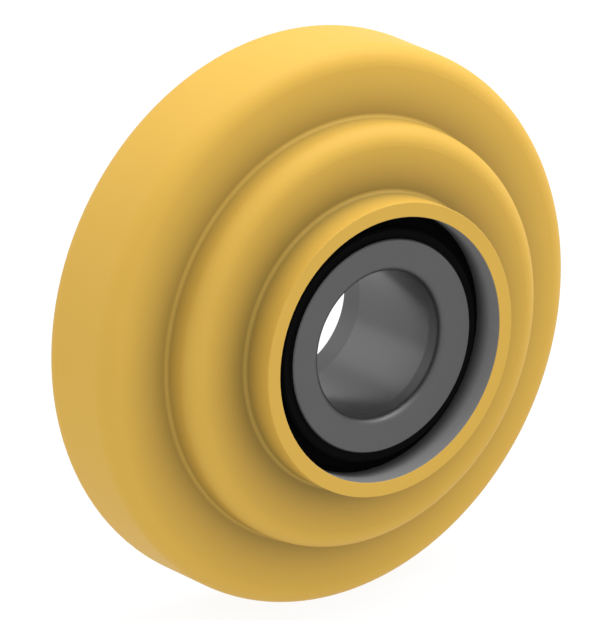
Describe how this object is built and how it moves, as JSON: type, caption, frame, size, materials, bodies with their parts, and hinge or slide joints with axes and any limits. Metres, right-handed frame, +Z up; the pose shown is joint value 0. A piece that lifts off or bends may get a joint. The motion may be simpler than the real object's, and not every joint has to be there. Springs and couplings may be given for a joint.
{
  "type": "track roller",
  "caption": "Single-flange track roller with a stepped tread and hub collar, turning on a sealed double-row roller bearing with a plain pin bore.",
  "frame": {"origin": "middle of the roller's width on its turning axis", "axes": "+Y along the turning axis from the hub end to the flange end, +Z up"},
  "size_m": [0.1524, 0.0494, 0.1524],
  "materials": {
    "shell_paint": "satin yellow paint, bare machined bore",
    "bearing_steel": "ground bearing steel",
    "collar_steel": "turned steel",
    "spring_steel": "phosphated spring steel",
    "cage_brass": "machined brass",
    "seal_rubber": "matt black nitrile rubber"
  },
  "bodies": {
    "pin_stack": {"inner_ring": "bearing_steel", "front_collar": "collar_steel", "front_dust_ring": "seal_rubber", "rear_collar": "collar_steel", "rear_dust_ring": "seal_rubber"},
    "shell": {"roller_shell": "shell_paint", "outer_ring": "bearing_steel", "front_snap_ring": "spring_steel", "front_seal_lip": "seal_rubber", "front_seal_case": "spring_steel", "front_seal_spring": "spring_steel", "rear_snap_ring": "spring_steel", "rear_seal_lip": "seal_rubber", "rear_seal_case": "spring_steel", "rear_seal_spring": "spring_steel"},
    "front_cage": {"front_cage": "cage_brass"},
    "front_roller_01": {"front_roller_01": "bearing_steel"},
    "front_roller_02": {"front_roller_02": "bearing_steel"},
    "front_roller_03": {"front_roller_03": "bearing_steel"},
    "front_roller_04": {"front_roller_04": "bearing_steel"},
    "front_roller_05": {"front_roller_05": "bearing_steel"},
    "front_roller_06": {"front_roller_06": "bearing_steel"},
    "front_roller_07": {"front_roller_07": "bearing_steel"},
    "front_roller_08": {"front_roller_08": "bearing_steel"},
    "front_roller_09": {"front_roller_09": "bearing_steel"},
    "front_roller_10": {"front_roller_10": "bearing_steel"},
    "front_roller_11": {"front_roller_11": "bearing_steel"},
    "front_roller_12": {"front_roller_12": "bearing_steel"},
    "front_roller_13": {"front_roller_13": "bearing_steel"},
    "front_roller_14": {"front_roller_14": "bearing_steel"},
    "front_roller_15": {"front_roller_15": "bearing_steel"},
    "front_roller_16": {"front_roller_16": "bearing_steel"},
    "rear_cage": {"rear_cage": "cage_brass"},
    "rear_roller_01": {"rear_roller_01": "bearing_steel"},
    "rear_roller_02": {"rear_roller_02": "bearing_steel"},
    "rear_roller_03": {"rear_roller_03": "bearing_steel"},
    "rear_roller_04": {"rear_roller_04": "bearing_steel"},
    "rear_roller_05": {"rear_roller_05": "bearing_steel"},
    "rear_roller_06": {"rear_roller_06": "bearing_steel"},
    "rear_roller_07": {"rear_roller_07": "bearing_steel"},
    "rear_roller_08": {"rear_roller_08": "bearing_steel"},
    "rear_roller_09": {"rear_roller_09": "bearing_steel"},
    "rear_roller_10": {"rear_roller_10": "bearing_steel"},
    "rear_roller_11": {"rear_roller_11": "bearing_steel"},
    "rear_roller_12": {"rear_roller_12": "bearing_steel"},
    "rear_roller_13": {"rear_roller_13": "bearing_steel"},
    "rear_roller_14": {"rear_roller_14": "bearing_steel"},
    "rear_roller_15": {"rear_roller_15": "bearing_steel"},
    "rear_roller_16": {"rear_roller_16": "bearing_steel"}
  },
  "joints": [
    {"name": "shell_spin", "type": "hinge", "parent": "pin_stack", "child": "shell", "pos_m": [0, 0, 0], "axis": [0, 1, 0], "continuous": true},
    {"name": "front_cage_spin", "type": "hinge", "parent": "pin_stack", "child": "front_cage", "pos_m": [0, 0, 0], "axis": [0, 1, 0], "continuous": true},
    {"name": "front_roller_01_spin", "type": "hinge", "parent": "front_cage", "child": "front_roller_01", "pos_m": [0, -0.0054, 0.0295], "axis": [0, 1, 0], "continuous": true},
    {"name": "front_roller_02_spin", "type": "hinge", "parent": "front_cage", "child": "front_roller_02", "pos_m": [0.01129, -0.0054, 0.02725], "axis": [0, 1, 0], "continuous": true},
    {"name": "front_roller_03_spin", "type": "hinge", "parent": "front_cage", "child": "front_roller_03", "pos_m": [0.02086, -0.0054, 0.02086], "axis": [0, 1, 0], "continuous": true},
    {"name": "front_roller_04_spin", "type": "hinge", "parent": "front_cage", "child": "front_roller_04", "pos_m": [0.02725, -0.0054, 0.01129], "axis": [0, 1, 0], "continuous": true},
    {"name": "front_roller_05_spin", "type": "hinge", "parent": "front_cage", "child": "front_roller_05", "pos_m": [0.0295, -0.0054, 0], "axis": [0, 1, 0], "continuous": true},
    {"name": "front_roller_06_spin", "type": "hinge", "parent": "front_cage", "child": "front_roller_06", "pos_m": [0.02725, -0.0054, -0.01129], "axis": [0, 1, 0], "continuous": true},
    {"name": "front_roller_07_spin", "type": "hinge", "parent": "front_cage", "child": "front_roller_07", "pos_m": [0.02086, -0.0054, -0.02086], "axis": [0, 1, 0], "continuous": true},
    {"name": "front_roller_08_spin", "type": "hinge", "parent": "front_cage", "child": "front_roller_08", "pos_m": [0.01129, -0.0054, -0.02725], "axis": [0, 1, 0], "continuous": true},
    {"name": "front_roller_09_spin", "type": "hinge", "parent": "front_cage", "child": "front_roller_09", "pos_m": [0, -0.0054, -0.0295], "axis": [0, 1, 0], "continuous": true},
    {"name": "front_roller_10_spin", "type": "hinge", "parent": "front_cage", "child": "front_roller_10", "pos_m": [-0.01129, -0.0054, -0.02725], "axis": [0, 1, 0], "continuous": true},
    {"name": "front_roller_11_spin", "type": "hinge", "parent": "front_cage", "child": "front_roller_11", "pos_m": [-0.02086, -0.0054, -0.02086], "axis": [0, 1, 0], "continuous": true},
    {"name": "front_roller_12_spin", "type": "hinge", "parent": "front_cage", "child": "front_roller_12", "pos_m": [-0.02725, -0.0054, -0.01129], "axis": [0, 1, 0], "continuous": true},
    {"name": "front_roller_13_spin", "type": "hinge", "parent": "front_cage", "child": "front_roller_13", "pos_m": [-0.0295, -0.0054, 0], "axis": [0, 1, 0], "continuous": true},
    {"name": "front_roller_14_spin", "type": "hinge", "parent": "front_cage", "child": "front_roller_14", "pos_m": [-0.02725, -0.0054, 0.01129], "axis": [0, 1, 0], "continuous": true},
    {"name": "front_roller_15_spin", "type": "hinge", "parent": "front_cage", "child": "front_roller_15", "pos_m": [-0.02086, -0.0054, 0.02086], "axis": [0, 1, 0], "continuous": true},
    {"name": "front_roller_16_spin", "type": "hinge", "parent": "front_cage", "child": "front_roller_16", "pos_m": [-0.01129, -0.0054, 0.02725], "axis": [0, 1, 0], "continuous": true},
    {"name": "rear_cage_spin", "type": "hinge", "parent": "pin_stack", "child": "rear_cage", "pos_m": [0, 0, 0], "axis": [0, 1, 0], "continuous": true},
    {"name": "rear_roller_01_spin", "type": "hinge", "parent": "rear_cage", "child": "rear_roller_01", "pos_m": [0, 0.0054, 0.0295], "axis": [0, 1, 0], "continuous": true},
    {"name": "rear_roller_02_spin", "type": "hinge", "parent": "rear_cage", "child": "rear_roller_02", "pos_m": [0.01129, 0.0054, 0.02725], "axis": [0, 1, 0], "continuous": true},
    {"name": "rear_roller_03_spin", "type": "hinge", "parent": "rear_cage", "child": "rear_roller_03", "pos_m": [0.02086, 0.0054, 0.02086], "axis": [0, 1, 0], "continuous": true},
    {"name": "rear_roller_04_spin", "type": "hinge", "parent": "rear_cage", "child": "rear_roller_04", "pos_m": [0.02725, 0.0054, 0.01129], "axis": [0, 1, 0], "continuous": true},
    {"name": "rear_roller_05_spin", "type": "hinge", "parent": "rear_cage", "child": "rear_roller_05", "pos_m": [0.0295, 0.0054, 0], "axis": [0, 1, 0], "continuous": true},
    {"name": "rear_roller_06_spin", "type": "hinge", "parent": "rear_cage", "child": "rear_roller_06", "pos_m": [0.02725, 0.0054, -0.01129], "axis": [0, 1, 0], "continuous": true},
    {"name": "rear_roller_07_spin", "type": "hinge", "parent": "rear_cage", "child": "rear_roller_07", "pos_m": [0.02086, 0.0054, -0.02086], "axis": [0, 1, 0], "continuous": true},
    {"name": "rear_roller_08_spin", "type": "hinge", "parent": "rear_cage", "child": "rear_roller_08", "pos_m": [0.01129, 0.0054, -0.02725], "axis": [0, 1, 0], "continuous": true},
    {"name": "rear_roller_09_spin", "type": "hinge", "parent": "rear_cage", "child": "rear_roller_09", "pos_m": [0, 0.0054, -0.0295], "axis": [0, 1, 0], "continuous": true},
    {"name": "rear_roller_10_spin", "type": "hinge", "parent": "rear_cage", "child": "rear_roller_10", "pos_m": [-0.01129, 0.0054, -0.02725], "axis": [0, 1, 0], "continuous": true},
    {"name": "rear_roller_11_spin", "type": "hinge", "parent": "rear_cage", "child": "rear_roller_11", "pos_m": [-0.02086, 0.0054, -0.02086], "axis": [0, 1, 0], "continuous": true},
    {"name": "rear_roller_12_spin", "type": "hinge", "parent": "rear_cage", "child": "rear_roller_12", "pos_m": [-0.02725, 0.0054, -0.01129], "axis": [0, 1, 0], "continuous": true},
    {"name": "rear_roller_13_spin", "type": "hinge", "parent": "rear_cage", "child": "rear_roller_13", "pos_m": [-0.0295, 0.0054, 0], "axis": [0, 1, 0], "continuous": true},
    {"name": "rear_roller_14_spin", "type": "hinge", "parent": "rear_cage", "child": "rear_roller_14", "pos_m": [-0.02725, 0.0054, 0.01129], "axis": [0, 1, 0], "continuous": true},
    {"name": "rear_roller_15_spin", "type": "hinge", "parent": "rear_cage", "child": "rear_roller_15", "pos_m": [-0.02086, 0.0054, 0.02086], "axis": [0, 1, 0], "continuous": true},
    {"name": "rear_roller_16_spin", "type": "hinge", "parent": "rear_cage", "child": "rear_roller_16", "pos_m": [-0.01129, 0.0054, 0.02725], "axis": [0, 1, 0], "continuous": true}
  ],
  "couplings": [
    {"joint": "front_cage_spin", "follows": "shell_spin", "ratio": 0.56017},
    {"joint": "front_roller_01_spin", "follows": "shell_spin", "ratio": 4.1533},
    {"joint": "front_roller_02_spin", "follows": "shell_spin", "ratio": 4.1533},
    {"joint": "front_roller_03_spin", "follows": "shell_spin", "ratio": 4.1533},
    {"joint": "front_roller_04_spin", "follows": "shell_spin", "ratio": 4.1533},
    {"joint": "front_roller_05_spin", "follows": "shell_spin", "ratio": 4.1533},
    {"joint": "front_roller_06_spin", "follows": "shell_spin", "ratio": 4.1533},
    {"joint": "front_roller_07_spin", "follows": "shell_spin", "ratio": 4.1533},
    {"joint": "front_roller_08_spin", "follows": "shell_spin", "ratio": 4.1533},
    {"joint": "front_roller_09_spin", "follows": "shell_spin", "ratio": 4.1533},
    {"joint": "front_roller_10_spin", "follows": "shell_spin", "ratio": 4.1533},
    {"joint": "front_roller_11_spin", "follows": "shell_spin", "ratio": 4.1533},
    {"joint": "front_roller_12_spin", "follows": "shell_spin", "ratio": 4.1533},
    {"joint": "front_roller_13_spin", "follows": "shell_spin", "ratio": 4.1533},
    {"joint": "front_roller_14_spin", "follows": "shell_spin", "ratio": 4.1533},
    {"joint": "front_roller_15_spin", "follows": "shell_spin", "ratio": 4.1533},
    {"joint": "front_roller_16_spin", "follows": "shell_spin", "ratio": 4.1533},
    {"joint": "rear_cage_spin", "follows": "shell_spin", "ratio": 0.56017},
    {"joint": "rear_roller_01_spin", "follows": "shell_spin", "ratio": 4.1533},
    {"joint": "rear_roller_02_spin", "follows": "shell_spin", "ratio": 4.1533},
    {"joint": "rear_roller_03_spin", "follows": "shell_spin", "ratio": 4.1533},
    {"joint": "rear_roller_04_spin", "follows": "shell_spin", "ratio": 4.1533},
    {"joint": "rear_roller_05_spin", "follows": "shell_spin", "ratio": 4.1533},
    {"joint": "rear_roller_06_spin", "follows": "shell_spin", "ratio": 4.1533},
    {"joint": "rear_roller_07_spin", "follows": "shell_spin", "ratio": 4.1533},
    {"joint": "rear_roller_08_spin", "follows": "shell_spin", "ratio": 4.1533},
    {"joint": "rear_roller_09_spin", "follows": "shell_spin", "ratio": 4.1533},
    {"joint": "rear_roller_10_spin", "follows": "shell_spin", "ratio": 4.1533},
    {"joint": "rear_roller_11_spin", "follows": "shell_spin", "ratio": 4.1533},
    {"joint": "rear_roller_12_spin", "follows": "shell_spin", "ratio": 4.1533},
    {"joint": "rear_roller_13_spin", "follows": "shell_spin", "ratio": 4.1533},
    {"joint": "rear_roller_14_spin", "follows": "shell_spin", "ratio": 4.1533},
    {"joint": "rear_roller_15_spin", "follows": "shell_spin", "ratio": 4.1533},
    {"joint": "rear_roller_16_spin", "follows": "shell_spin", "ratio": 4.1533}
  ]
}
